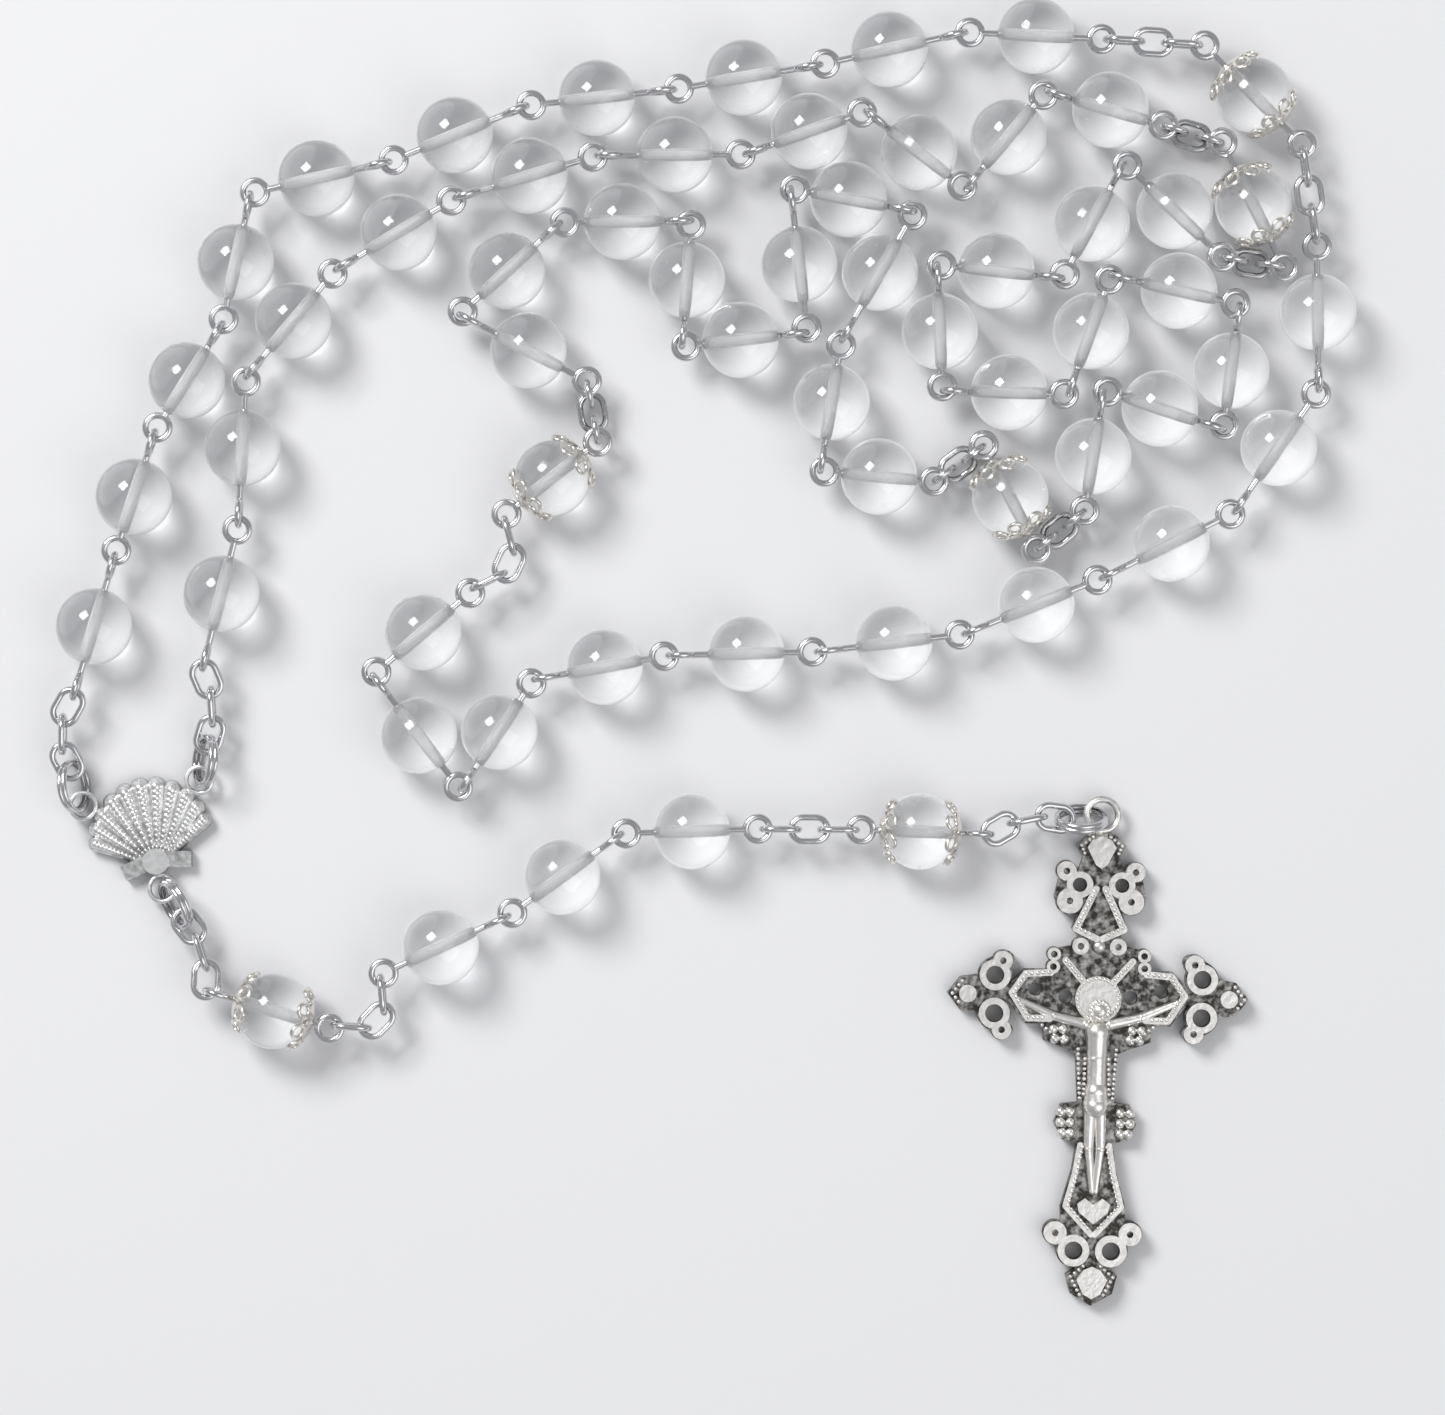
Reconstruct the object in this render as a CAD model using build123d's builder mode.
"""A five-decade rosary laid flat: clear stone beads on looped wire pins, chain links,
split rings, a scallop centrepiece and a cast openwork crucifix.

Millimetres, +Z up. The rosary lies on Z = 0, with the middle of its outline at X = Y = 0.
"""

from build123d import *
import math
import os
from dataclasses import dataclass

os.makedirs("parts", exist_ok=True)

# ---- driving dimensions -------------------------------------------------------------
bead_diameter = 8.0
bead_gap = 0.35 # least space between two beads that lie side by side
bore_clearance = 0.08  # radial, pin in bead
wire = 0.7  # pins and chain links
eye_outer = 3.2
shank_least = 0.1  # from a bead to the eye beside it
shank_most = 1.25
play = 0.1  # between two wires that hook through each other
link_length = 4.5
link_width = 3.2
links_in_a_run = 3
ring_outer = 5.6
ring_wire = 0.6
ring_coil_pitch = 0.5  # between the two turns of a split ring
ring_hook_in = 0.85 # how far inside a split ring's far side its first link hooks
ring_roll = 66.0  # degrees, a split ring leans on its neighbours
cap_wall = 0.3
cap_reach = 31.0  # degrees from the bore, the closed part of a cap
cap_petals = 8
petal_outer = 1.9
petal_wire = 0.42
petal_tilt = 42.0  # degrees from the bore to the middle of a petal
shell_radius = 9.6  # hinge to the rim, along the middle rib
shell_side_radius = 7.4  # hinge to the rim, along an outer rib
shell_half_fan = 62.0  # degrees
shell_ribs = 11
shell_thickness = 2.4
shell_plate = 1.0
ear_outer = 3.2
ear_wire = 0.5
ear_height = 1.5
ear_out = 6.2
ear_up = 8.0
drop_loop_down = 2.2
crucifix_height = 53.0
crucifix_plate = 1.6
crucifix_relief = 3.2
bail_outer = 4.0
bail_wire = 0.7
bail_height = 1.8
shell_boss = 1.35  # radius of the hinge boss
rib_rise = 0.35  # how much a rib's radius passes half its pitch at the rim

# ---- sizes that follow --------------------------------------------------------------
bead_radius = bead_diameter / 2
lie_height = bead_radius
eye_radius = (eye_outer - wire) / 2
hook_play = eye_radius - wire - play  # from an eye's middle to a wire hooked in it
link_half = (link_length - wire) / 2  # middle of a link to the middle of its end wire
link_side = (link_width - wire) / 2
link_hook = link_half - wire - play
ring_radius = (ring_outer - ring_wire) / 2
ear_radius = (ear_outer - ear_wire) / 2
bail_radius = (bail_outer - bail_wire) / 2
cap_inner = bead_radius + 0.05
cap_room = cap_wall + 0.05 + play  # from a capped bead to its eyes
pin_least = 2 * (bead_radius + shank_least + eye_outer / 2)
pin_most = 2 * (bead_radius + shank_most + eye_outer / 2)
run_outer_edge = 2 * link_half
run_outer_flat = 2 * link_hook
crucifix_scale = crucifix_height / 53.0
run_least = eye_outer + 2 * play  # eye to eye
run_least_hanging = run_outer_edge + 2 * eye_radius + play

# ---- where it lies ------------------------------------------------------------------
# Points where neighbouring eyes meet, seen from above, laid out for 8 mm beads. The
# first and last point of a strand are the middles of its end eyes.
layout_bead = 8.0
layout_scale = bead_diameter / layout_bead
centre_shift = (-0.118, -1.754)

knots = {
    "decade_1": [
        (-64.9, -1.7), (-60.9, 12.0), (-56.5, 24.8), (-49.5, 36.0), (-46.8, 49.5), (-32.5, 52.5),
        (-18.0, 57.5), (-3.0, 59.0), (11.8, 62.5), (26.3, 64.3), (40.3, 63.0),
    ],
    "our_father_1": [(50.6, 60.6), (60.9, 52.4)],
    "decade_2": [
        (65.8, 43.4), (62.3, 29.0), (52.5, 17.0), (39.0, 11.2), (25.0, 4.5), (10.2, 1.5),
        (-4.0, 1.5), (-17.5, -1.0), (-25.0, -12.5), (-34.0, -0.5), (-24.0, 8.0),
    ],
    "our_father_2": [(-20.0, 16.4), (-11.2, 24.9)],
    "decade_3": [
        (-12.0, 31.2), (-25.3, 37.0), (-14.8, 46.0), (-0.5, 47.0), (-1.5, 34.0), (11.5, 35.5),
        (10.5, 48.7), (23.5, 46.2), (15.5, 33.8), (13.2, 20.6), (24.9, 21.0),
    ],
    "our_father_3": [(30.2, 24.4), (37.2, 15.2)],
    "decade_4": [
        (42.0, 19.6), (42.8, 32.2), (55.2, 26.8), (57.0, 38.2), (44.2, 40.8), (39.0, 29.0),
        (26.0, 29.0), (25.5, 41.5), (38.0, 40.0), (43.3, 51.8), (51.6, 41.6),
    ],
    "our_father_4": [(60.4, 41.0), (54.6, 52.2)],
    "decade_5": [
        (47.5, 54.2), (36.0, 59.3), (27.3, 49.8), (16.5, 57.8), (4.5, 53.0), (-10.5, 52.5),
        (-25.0, 47.5), (-38.0, 41.5), (-47.5, 30.5), (-48.0, 15.3), (-51.6, 0.9),
    ],
    "our_father_5": [(-50.3, -33.6), (-38.6, -37.2)],
    "hail_marys": [(-33.0, -31.5), (-20.0, -25.5), (-8.5, -17.0), (5.5, -16.5)],
    "our_father_6": [(17.2, -16.6), (28.9, -17.0)],
}
loop_order = [
    "decade_1", "our_father_1", "decade_2", "our_father_2", "decade_3",
    "our_father_3", "decade_4", "our_father_4", "decade_5",
]
drop_order = ["our_father_5", "hail_marys", "our_father_6"]
LEFT, RIGHT, HANGING = 1, -1, 0  # where a run's slack goes, seen along the run
run_sides = {
    "run_1": LEFT, "run_2": HANGING, "run_3": HANGING, "run_4": RIGHT, "run_5": HANGING,
    "run_6": HANGING, "run_7": HANGING, "run_8": HANGING, "run_9": HANGING, "run_10": RIGHT,
    "drop_run_1": LEFT, "drop_run_2": RIGHT, "drop_run_3": LEFT, "drop_run_4": RIGHT,
}


@dataclass
class Pin:
    """One bead's wire pin: its two eyes, and whether each eye stands on edge."""

    start: Vector
    end: Vector
    start_on_edge: bool
    end_on_edge: bool

    @property
    def along(self):
        return (self.end - self.start).normalized()

    @property
    def middle(self):
        return (self.start + self.end) * 0.5

    @property
    def plane(self):
        return Plane(origin=self.middle, x_dir=self.along, z_dir=(0, 0, 1))


def eye_setback(on_edge):
    """How far an eye's middle lies from the point where two eyes meet."""
    return eye_radius if on_edge else hook_play


def pins_of(points, ends_on_edge):
    """The pins of a strand, one between each two points."""
    pins = []
    last = len(points) - 2
    for i, (a, b) in enumerate(zip(points, points[1:])):
        along = (b - a).normalized()
        start = a if i == 0 else a + along * eye_setback(False)
        end = b if i == last else b - along * eye_setback(True)
        start_edge = ends_on_edge[0] if i == 0 else False
        end_edge = ends_on_edge[1] if i == last else True
        pins.append(Pin(start, end, start_edge, end_edge))
    return pins


def push_apart(points, first, second, least):
    """Move two groups of points apart until their middles are a least distance from each other."""
    middle_a = sum((points[i] for i in first), Vector()) * (1 / len(first))
    middle_b = sum((points[i] for i in second), Vector()) * (1 / len(second))
    gap = middle_b - middle_a
    if gap.length >= least:
        return
    push = gap.normalized() * ((least - gap.length) / 2)
    for i in first:
        points[i] = points[i] - push
    for i in second:
        points[i] = points[i] + push


def hold_span(points, a, b, least, most):
    """Bring the distance between two points within its limits."""
    span = points[b] - points[a]
    wanted = min(max(span.length, least), most)
    shift = span.normalized() * ((wanted - span.length) / 2)
    points[a] = points[a] - shift
    points[b] = points[b] + shift


def settle(strands, rounds=80):
    """Ease the laid-out points so that pins keep their length and nothing touches."""
    points = []
    pairs = []
    ends = {}
    for name, route in strands.items():
        first = len(points)
        points += [Vector(x * layout_scale, y * layout_scale, lie_height) for x, y in route]
        last = len(points) - 1
        ends[name] = (first, last)
        for i in range(first, last):
            slack = (i > first) * eye_setback(False) + (i < last - 1) * eye_setback(True)
            if name.startswith("our_father"):
                slack = 2 * (cap_room - shank_least)
            pairs.append((i, i + 1, slack))
    runs = []
    for order, kind in ((loop_order, "run"), (drop_order, "drop_run")):
        for n, (a, b) in enumerate(zip(order, order[1:]), 2):
            hangs = run_sides[f"{kind}_{n}"] == HANGING
            least = run_least_hanging if hangs else run_least
            runs.append((ends[a][1], ends[b][0], least))
    bead_space = bead_diameter + bead_gap
    eye_space = bead_radius + eye_outer / 2 + bead_gap
    run_space = bead_radius + link_width / 2 + bead_gap
    knot_space = eye_outer + 5 * play
    run_most = run_outer_flat + 2 * run_outer_edge + 2 * hook_play
    near = 2.5 * pin_most
    neighbours = [
        (a, b, c, d)
        for n, (a, b, _slack) in enumerate(pairs)
        for c, d, _slack in pairs[n + 1:]
        if (points[a] + points[b] - points[c] - points[d]).length < near
    ]
    passing = [
        (a, b, c, d)
        for a, b, _least in runs
        for c, d, _slack in pairs
    ]
    for _ in range(rounds):
        for a, b, c, d in neighbours:
            push_apart(points, (a, b), (c, d), bead_space)
            if b != c:
                push_apart(points, (a,), (c, d), eye_space)
                push_apart(points, (b,), (c, d), eye_space)
                push_apart(points, (c,), (a, b), eye_space)
                push_apart(points, (d,), (a, b), eye_space)
                push_apart(points, (a,), (c,), knot_space)
                push_apart(points, (b,), (d,), knot_space)
        for a, b, c, d in passing:
            push_apart(points, (a, b), (c, d), run_space)
        for a, b, least in runs:
            hold_span(points, a, b, least, run_most)
        for a, b, slack in pairs:
            hold_span(points, a, b, pin_least + slack, pin_most + slack)
    return {name: points[first:last + 1] for name, (first, last) in ends.items()}


shift = Vector(centre_shift[0], centre_shift[1], 0)
laid = {name: [p + shift for p in route] for name, route in settle(knots).items()}
on_edge_ends = {
    "decade_1": (True, False),
    "decade_5": (False, True),
    "our_father_5": (True, False),
    "our_father_6": (False, True),
}
strands = {n: pins_of(points, on_edge_ends.get(n, (False, False))) for n, points in laid.items()}

# ---- centrepiece, split rings and crucifix places -------------------------------------
shell_turn = 12.5  # degrees
shell_hinge = Vector(-56.7, -20.6, 0) * layout_scale + shift
shell_plane = Plane(shell_hinge).rotated((0, 0, shell_turn))
left_ear = shell_plane.from_local_coords((-ear_out, ear_up, ear_height))
right_ear = shell_plane.from_local_coords((ear_out, ear_up, ear_height))
drop_loop = shell_plane.from_local_coords((0, -drop_loop_down, ear_height))
ring_height = ring_radius * math.sin(math.radians(ring_roll)) + ring_wire / 2 + 0.15


def ring_plane(held, toward, roll, hooked_height, reach=0.0):
    """A split ring's plane: it hooks at one point and leans along a heading.

    Its X axis points away from the hooked end, and its roll turns it about that axis.
    """
    heading = Vector(math.cos(math.radians(toward)), math.sin(math.radians(toward)), 0)
    side = Vector(-heading.Y, heading.X, 0)
    up = side * math.cos(math.radians(roll)) + Vector(0, 0, math.sin(math.radians(roll)))
    sine = (hooked_height - ring_height) / (ring_radius * math.sin(math.radians(roll)))
    hooked = heading * -math.sqrt(1 - sine * sine) + up * sine
    centre = held - hooked * ring_radius + heading * reach
    centre.Z = ring_height
    return Plane(origin=centre, x_dir=heading, z_dir=heading.cross(up))


ring_planes = {
    "left_ear_ring": ring_plane(left_ear, 97, ring_roll, ear_height),
    "right_ear_ring": ring_plane(right_ear, 84, -ring_roll, ear_height),
    "drop_ring": ring_plane(drop_loop, -62, ring_roll, ear_height),
}
crucifix_ring_heading = 180.0
crucifix_tilt = -1.4
bail_place = Vector(41.8, -15.1, bail_height) * layout_scale + shift
bail_place.Z = bail_height
ring_planes["crucifix_ring"] = ring_plane(
    bail_place, crucifix_ring_heading, ring_roll, bail_height
)
crucifix_plane = Plane((bail_place.X, bail_place.Y, 0)).rotated((0, 0, crucifix_tilt))


# ---- chain runs ----------------------------------------------------------------------
@dataclass
class Link:
    """One chain link: the plane it lies in, with X along it."""

    plane: Plane


def link_between(a, b, on_edge):
    """A link whose long way points from one hooking point to the next."""
    along = (b - a).normalized()
    level = Vector(0, 0, 1).cross(along).normalized()
    normal = level if on_edge else along.cross(level)
    return Link(Plane(origin=(a + b) * 0.5, x_dir=along, z_dir=normal))


def run_between(start, end, first_on_edge, bow):
    """Three links from one hooking point to another, bowed by their slack.

    A link that lies in the bow's own plane is hooked inside its ends, and the others
    are hooked at their end wires, so that the links can swing in the bow.
    """
    hangs = bow == HANGING
    outer_at_wire = first_on_edge != hangs
    outer = run_outer_edge if outer_at_wire else run_outer_flat
    middle = run_outer_flat if outer_at_wire else run_outer_edge
    chord = end - start
    across = Vector(0, 0, 1).cross(chord).normalized()
    away = Vector(0, 0, -1) if hangs else across * bow
    along = chord.normalized()
    part = min((chord.length - middle) / (2 * outer), 1)
    rise = math.sqrt(1 - part * part)
    second = start + along * (outer * part) + away * (outer * rise)
    third = second + along * middle
    return [
        link_between(start, second, first_on_edge),
        link_between(second, third, not first_on_edge),
        link_between(third, end, first_on_edge),
    ]


def eye_hook(pin, at_start, toward, bow):
    """Where a link crosses an end eye."""
    middle = pin.start if at_start else pin.end
    on_edge = pin.start_on_edge if at_start else pin.end_on_edge
    if on_edge:
        out = pin.along * (-1 if at_start else 1)
        return middle + out * eye_radius
    reach = eye_radius if bow == HANGING else hook_play
    return middle + (toward - middle).normalized() * reach


def run_of_eyes(a, b, side):
    """The run between the last eye of one strand and the first of the next."""
    end_a, start_b = strands[a][-1].end, strands[b][0].start
    start = eye_hook(strands[a][-1], False, start_b, side)
    end = eye_hook(strands[b][0], True, end_a, side)
    return run_between(start, end, True, side)


def run_of_ring(ring, strand, at_start, side):
    """The run between a split ring's far side and the end eye of a strand."""
    plane = ring_planes[ring]
    far = plane.origin + plane.x_dir * (ring_radius - ring_hook_in)
    pin = strands[strand][0] if at_start else strands[strand][-1]
    return run_between(far, eye_hook(pin, at_start, far, side), False, side)


runs = {"run_1": run_of_ring("left_ear_ring", "decade_1", True, run_sides["run_1"])}
for n, (a, b) in enumerate(zip(loop_order, loop_order[1:]), 2):
    runs[f"run_{n}"] = run_of_eyes(a, b, run_sides[f"run_{n}"])
runs["run_10"] = run_of_ring("right_ear_ring", "decade_5", False, run_sides["run_10"])
runs["drop_run_1"] = run_of_ring("drop_ring", "our_father_5", True, run_sides["drop_run_1"])
for n, (a, b) in enumerate(zip(drop_order, drop_order[1:]), 2):
    runs[f"drop_run_{n}"] = run_of_eyes(a, b, run_sides[f"drop_run_{n}"])
runs["drop_run_4"] = run_of_ring("crucifix_ring", "our_father_6", False, run_sides["drop_run_4"])

# ==== solids ============================================================================
kept = []


def keep(piece, label):
    """Label a finished node, write it, and report its size."""
    piece.part.label = label
    export_step(piece.part, f"parts/{label}.step")
    kept.append(piece.part)
    print(label, len(piece.part.solids()), "solids")


def eye_place(pin, middle, on_edge):
    """The plane of one eye."""
    level = Vector(0, 0, 1)
    normal = level.cross(pin.along) if on_edge else level
    return Plane(origin=middle, x_dir=pin.along, z_dir=normal)


def make_pins(pins, label):
    """Straight wires with a closed eye at each end."""
    with BuildPart() as made:
        for pin in pins:
            shank = (pin.end - pin.start).length - 2 * eye_radius
            with Locations(pin.plane):
                Cylinder(wire / 2, shank, rotation=(0, 90, 0))
        eyes = [eye_place(p, p.start, p.start_on_edge) for p in pins]
        eyes += [eye_place(p, p.end, p.end_on_edge) for p in pins]
        with Locations(*eyes):
            Torus(eye_radius, wire / 2)
    keep(made, label)


with BuildPart() as bead:
    with BuildSketch():
        Circle(bead_radius)
        with Locations((0, wire / 2 + bore_clearance)):
            Rectangle(
                2 * bead_diameter, 2 * bead_diameter, align=(Align.CENTER, Align.MAX),
                mode=Mode.SUBTRACT,
            )
    revolve(axis=Axis.X)


def make_beads(pins, label):
    """Round beads with a through bore on their pins."""
    with BuildPart() as made:
        for pin in pins:
            add(bead.part.moved(pin.plane.location))
    keep(made, label)


def dome_profile(reach):
    """The outline of the closed middle of a cap, to revolve about the X axis."""
    hole = wire / 2 + bore_clearance
    outer = cap_inner + cap_wall
    near, far = math.asin(hole / cap_inner), math.radians(reach)
    inner_points = [(cap_inner * math.cos(t), cap_inner * math.sin(t)) for t in (near, far)]
    near_out = math.asin(hole / outer)
    outer_points = [(outer * math.cos(t), outer * math.sin(t)) for t in (near_out, far)]
    with BuildLine() as outline:
        RadiusArc(inner_points[0], inner_points[1], -cap_inner)
        Line(inner_points[1], outer_points[1])
        RadiusArc(outer_points[1], outer_points[0], outer)
        Line(outer_points[0], inner_points[0])
    return outline


with BuildPart() as cap:
    with BuildSketch(Plane.XY) as cap_section:
        add(dome_profile(cap_reach).line)
        make_face()
    revolve(axis=Axis.X)
    petal_radius = (petal_outer - petal_wire) / 2
    petal_seat = cap_inner + petal_wire / 2
    petals = []
    for n in range(cap_petals):
        around = Plane.YZ.rotated((0, 0, 0))
        turn = math.radians(360 / cap_petals * (n + 0.5))
        tilt = math.radians(petal_tilt)
        out = Vector(math.cos(tilt), math.sin(tilt) * math.cos(turn), math.sin(tilt) * math.sin(turn))
        petals.append(Plane(origin=out * petal_seat, z_dir=out))
    with Locations(*petals):
        Torus(petal_radius, petal_wire / 2)


def make_caps(pin, label):
    """A cap over each end of a bead."""
    turned = Plane(origin=pin.middle, x_dir=pin.along * -1, z_dir=(0, 0, 1))
    with BuildPart() as made:
        for plane in (pin.plane, turned):
            add(cap.part.moved(plane.location))
    keep(made, label)


def link_path():
    """The middle line of an oval link's wire."""
    with BuildLine() as path:
        straight = link_half - link_side
        top = Line((-straight, link_side), (straight, link_side))
        right = ThreePointArc(top @ 1, (link_half, 0), (straight, -link_side))
        bottom = Line(right @ 1, (-straight, -link_side))
        ThreePointArc(bottom @ 1, (-link_half, 0), top @ 0)
    return path


with BuildPart() as link:
    add(link_path().line)
    with BuildSketch(Plane(origin=(0, link_side, 0), z_dir=(1, 0, 0))):
        Circle(wire / 2)
    sweep(path=link_path().line)

with BuildPart() as split_ring:
    with Locations((0, 0, -ring_coil_pitch / 2), (0, 0, ring_coil_pitch / 2)):
        Torus(ring_radius, ring_wire / 2)


def make_run(links, label):
    """A run of chain links."""
    with BuildPart() as made:
        for each in links:
            add(link.part.moved(each.plane.location))
    keep(made, label)


for name, pins in strands.items():
    if name == "hail_marys":
        for n, pin in enumerate(pins, 1):
            make_beads([pin], f"hail_mary_{n}_bead")
            make_pins([pin], f"hail_mary_{n}_pin")
        continue
    make_beads(pins, f"{name}_beads" if len(pins) > 1 else f"{name}_bead")
    make_pins(pins, f"{name}_pins" if len(pins) > 1 else f"{name}_pin")
    if len(pins) == 1:
        make_caps(pins[0], f"{name}_caps")
for name, links in runs.items():
    make_run(links, f"{name}_links")
for name, plane in ring_planes.items():
    with BuildPart() as ring:
        add(split_ring.part.moved(plane.location))
    keep(ring, name)


# ---- centrepiece -------------------------------------------------------------------------
def rim_at(angle):
    """The shell's radius at an angle from its middle rib."""
    share = (1 - math.cos(math.radians(angle))) / (1 - math.cos(math.radians(shell_half_fan)))
    return shell_radius - (shell_radius - shell_side_radius) * share


def fan_point(angle, radius, height=0.0):
    """A point of the fan, with the middle rib along +Y."""
    turn = math.radians(angle)
    return Vector(radius * math.sin(turn), radius * math.cos(turn), height)


rib_pitch = 2 * shell_half_fan / shell_ribs
rib_angles = [-shell_half_fan + rib_pitch * (i + 0.5) for i in range(shell_ribs)]

with BuildPart() as centrepiece:
    with BuildSketch():
        with BuildLine():
            Polyline([(0, 0)] + [
                tuple(fan_point(a, 0.93 * rim_at(a)))[:2]
                for a in (-shell_half_fan + k * shell_half_fan / 6 for k in range(13))
            ], close=True)
        make_face()
    extrude(amount=shell_plate)
    with Locations((0, 0.5 * shell_boss, 0)):
        Cylinder(shell_boss, shell_thickness, align=(Align.CENTER, Align.CENTER, Align.MIN))
    for angle in rib_angles:
        tip = 0.5 * math.radians(rib_pitch) * rim_at(angle) * (1 + rib_rise / 3)
        length = rim_at(angle) - tip - shell_boss
        with Locations(Plane(origin=fan_point(angle, shell_boss, shell_plate), z_dir=fan_point(angle, 1))):
            Cone(0.3 * tip, tip, length, align=(Align.CENTER, Align.CENTER, Align.MIN))
        with Locations(fan_point(angle, rim_at(angle) - tip, shell_plate)):
            Sphere(tip)
    with Locations((ear_out, ear_up, ear_height), (-ear_out, ear_up, ear_height)):
        Torus(ear_radius, ear_wire / 2)
    with Locations((0, -drop_loop_down, ear_height)):
        Torus(ear_radius, ear_wire / 2)
    for side in (-1, 1):
        wing = fan_point(side * (shell_half_fan + 16), 2.2, 0)
        with Locations(Pos(wing.X, wing.Y, 0) * Rot(0, 0, side * -12)):
            Box(3.0, 1.7, ear_height, align=(Align.CENTER, Align.CENTER, Align.MIN))
    with BuildSketch(Plane((0, 0, -5))):
        Rectangle(60, 60)
    extrude(amount=5, mode=Mode.SUBTRACT)
placed_centrepiece = centrepiece.part.moved(shell_plane.location)
with BuildPart() as piece:
    add(placed_centrepiece)
keep(piece, "centrepiece")


# ---- crucifix ------------------------------------------------------------------------------
def sides(*points):
    """The same points on both sides of the crucifix's middle line, at its scale."""
    return [(s * x * crucifix_scale, y * crucifix_scale) for x, y in points for s in (-1, 1)]


def outline(points):
    """A closed outline from its right half, given from top to bottom."""
    right = [(x * crucifix_scale, y * crucifix_scale) for x, y in points]
    left = [(-x, y) for x, y in reversed(right) if x > 0]
    Polygon(*right, *left, align=None)


def bar(a, b, width):
    """Round-ended bars between two points and their mirror images."""
    for s in (-1, 1):
        start = Vector(s * a[0], a[1]) * crucifix_scale
        end = Vector(s * b[0], b[1]) * crucifix_scale
        run = end - start
        turn = math.degrees(math.atan2(run.Y, run.X))
        with Locations(Pos((start.X + end.X) / 2, (start.Y + end.Y) / 2) * Rot(0, 0, turn)):
            SlotCenterToCenter(run.length, width * crucifix_scale)


def scrolls(radius, *places):
    """Open scrolls: discs at mirrored places."""
    with Locations(*sides(*places)):
        Circle(radius * crucifix_scale)


def limb(a, b, first, last):
    """A tapering round limb between two points of the figure."""
    start, end = Vector(*a) * crucifix_scale, Vector(*b) * crucifix_scale
    with Locations(Plane(origin=start, z_dir=end - start)):
        Cone(
            first * crucifix_scale, last * crucifix_scale, (end - start).length,
            align=(Align.CENTER, Align.CENTER, Align.MIN),
        )
    with Locations(start):
        Sphere(1.04 * first * crucifix_scale)
    with Locations(end):
        Sphere(1.04 * last * crucifix_scale)


scroll_places = [
    (1.5, (2.2, -7.3), 0.75), (1.45, (3.2, -9.0), 0.0), (1.75, (10.8, -16.9), 0.95),
    (1.75, (10.8, -20.9), 0.95), (1.8, (1.95, -45.4), 0.95), (0.95, (1.95, -13.7), 0.0),
    (0.75, (4.7, -14.6), 0.0), (0.75, (4.75, -15.9), 0.0), (1.1, (10.0, -15.4), 0.0),
    (1.1, (10.0, -22.6), 0.0), (1.3, (3.9, -43.6), 0.0), (1.1, (3.6, -5.9), 0.0),
]
top_leaf = [(0, -1.7), (1.3, -1.9), (2.6, -3.2), (1.9, -4.4), (2.6, -6.4), (0, -7.4)]
bell = [(0, -6.8), (1.5, -7.8), (2.9, -11.9), (2.2, -12.6), (2.2, -14.0), (0, -14.6)]
middle = [
    (0, -12.8), (2.6, -13.6), (5.2, -14.2), (5.2, -16.2), (7.75, -16.2), (9.6, -18.2),
    (9.6, -19.2), (7.6, -21.9), (5.6, -21.9), (5.6, -23.6), (3.4, -24.4), (2.2, -24.9),
    (1.9, -30.0), (3.6, -30.2), (4.3, -32.2), (3.4, -33.9), (1.9, -34.2), (2.3, -37.0),
    (3.4, -40.9), (3.3, -43.4), (0, -45.6),
]
arm_tip = [(8.9, -18.2), (11.9, -18.2), (12.7, -16.9), (14.4, -17.2), (15.7, -18.9)]
foot_leaf = [(0, -44.2), (1.0, -45.4), (1.4, -47.0), (2.7, -48.0), (2.2, -49.9), (0, -51.2)]
panel = [(0, -8.6), (0.9, -9.4), (1.9, -11.6), (0, -12.3)]
heart = [(0, -40.2), (1.0, -39.4), (2.1, -40.2), (1.9, -41.4), (0, -43.0)]
windows = [(3.4, -16.9), (5.0, -16.9), (7.3, -17.4), (8.2, -18.8)]

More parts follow.
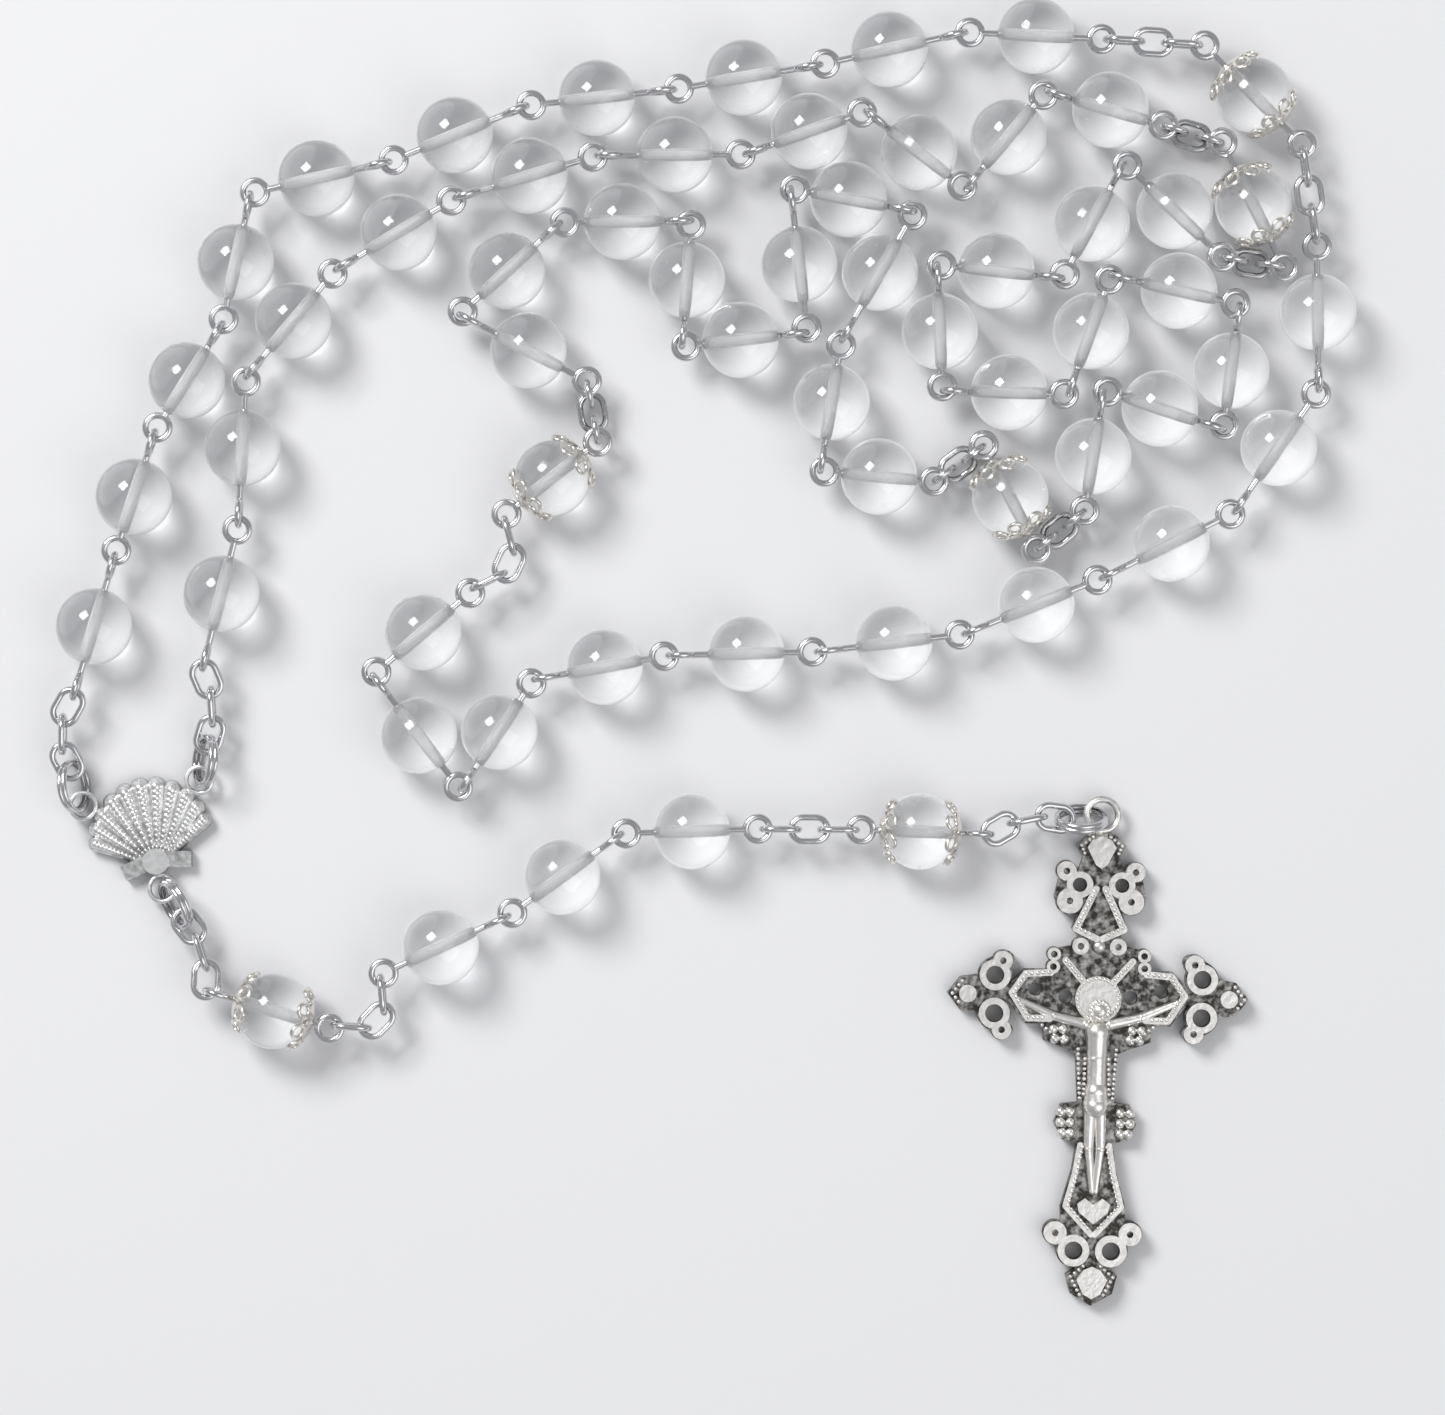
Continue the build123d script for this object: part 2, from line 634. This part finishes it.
with BuildPart() as crucifix:
    with BuildSketch():
        for shape in (top_leaf, bell, middle, foot_leaf):
            outline(shape)
        for s in (-1, 1):
            tip = [(s * x * crucifix_scale, y * crucifix_scale) for x, y in arm_tip]
            tip += [(x, 2 * -18.9 * crucifix_scale - y) for x, y in reversed(tip[:-1])]
            Polygon(*tip, align=None)
        for radius, place, _ in scroll_places:
            scrolls(radius, place)
        bar((3.6, -5.9), (4.2, -8.6), 1.2)
        bar((9.6, -15.2), (11.2, -16.0), 1.6)
        bar((9.6, -22.6), (11.2, -21.8), 1.6)
        for radius, place, hole in scroll_places:
            if hole:
                with Locations(*sides(place)):
                    Circle(hole * crucifix_scale, mode=Mode.SUBTRACT)
        with Locations(*sides((3.4, -19.0))):
            Circle(0.75 * crucifix_scale, mode=Mode.SUBTRACT)
        with Locations(*sides((6.6, -18.3))):
            Circle(0.7 * crucifix_scale, mode=Mode.SUBTRACT)
    extrude(amount=crucifix_plate)
    # raised borders
    rim_top = crucifix_plate + 0.25 * crucifix_relief
    with BuildSketch():
        for radius, place, hole in scroll_places:
            scrolls(0.92 * radius, place)
        bar((5.0, -16.5), (7.6, -16.7), 0.7)
        bar((7.6, -16.7), (9.0, -18.7), 0.7)
        bar((9.0, -18.7), (7.3, -21.3), 0.7)
        bar((7.3, -21.3), (5.0, -21.3), 0.7)
        bar((3.5, -15.2), (1.3, -17.7), 0.7)
        bar((0.5, -7.7), (2.5, -11.9), 0.7)
        bar((2.5, -11.9), (0.3, -12.9), 0.7)
        bar((1.5, -34.4), (2.0, -37.4), 0.6)
        bar((2.0, -37.4), (2.9, -40.8), 0.6)
        bar((2.9, -40.8), (0.2, -43.7), 0.6)
        for radius, place, hole in scroll_places:
            with Locations(*sides(place)):
                Circle((hole or 0.35) * crucifix_scale, mode=Mode.SUBTRACT)
    extrude(amount=rim_top)
    with BuildSketch():
        outline([(0, -2.2), (1.0, -2.6), (1.5, -3.4), (0.6, -5.2), (0, -5.6)])
        outline([(0, -47.0), (0.9, -47.4), (1.6, -48.4), (0.9, -49.9), (0, -50.4)])
        outline([(0, -40.6), (0.9, -39.9), (1.7, -40.5), (1.5, -41.4), (0, -42.6)])
        with Locations(*sides((13.6, -18.9))):
            Circle(0.9 * crucifix_scale)
    extrude(amount=rim_top + 0.1 * crucifix_relief)
    # halo, bead groups and figure
    with BuildSketch():
        with Locations((0, -19.2 * crucifix_scale)):
            Circle(2.4 * crucifix_scale)
    extrude(amount=rim_top)
    clusters = [(x, y, crucifix_plate + 0.15) for x, y in sides(
        (2.6, -31.0), (3.6, -31.0), (2.6, -32.1), (3.6, -32.1), (2.6, -33.2), (3.4, -33.2),
        (3.6, -22.4), (4.6, -22.4), (3.4, -23.4), (4.4, -23.4),
    )]
    with Locations(*clusters):
        Sphere(0.55 * crucifix_scale)
    body_height = 0.6 * crucifix_relief
    for side in (-1, 1):
        limb((1.3 * side, -21.8, body_height), (4.6 * side, -21.0, body_height), 0.62, 0.52)
        limb((4.6 * side, -21.0, body_height), (8.3 * side, -19.4, body_height), 0.52, 0.38)
        limb((0.55 * side, -30.0, body_height), (0.62 * side, -34.8, body_height), 0.72, 0.55)
        limb((0.62 * side, -34.8, body_height), (0.2 * side, -39.2, body_height), 0.52, 0.36)
    limb((0, -22.6, body_height), (0, -25.4, body_height), 1.25, 1.05)
    limb((0, -25.4, body_height), (0, -28.6, body_height), 1.05, 1.0)
    limb((0, -28.8, body_height), (0, -30.3, body_height), 1.2, 1.3)
    limb((0.1, -21.2, body_height), (0.2, -20.4, body_height + 0.5), 0.55, 0.95)
    with Locations((0, -13.7 * crucifix_scale, crucifix_plate)):
        Sphere(0.8 * crucifix_scale)
    with Locations((0, 0, bail_height)):
        Torus(bail_radius, bail_wire / 2)
    with Locations((0, -bail_radius - 0.1, bail_height - bail_wire / 2)):
        Box(1.2, 1.3, bail_wire + 0.1, align=(Align.CENTER, Align.CENTER, Align.CENTER))
with BuildPart() as piece:
    add(crucifix.part.moved(crucifix_plane.location))
keep(piece, "crucifix")
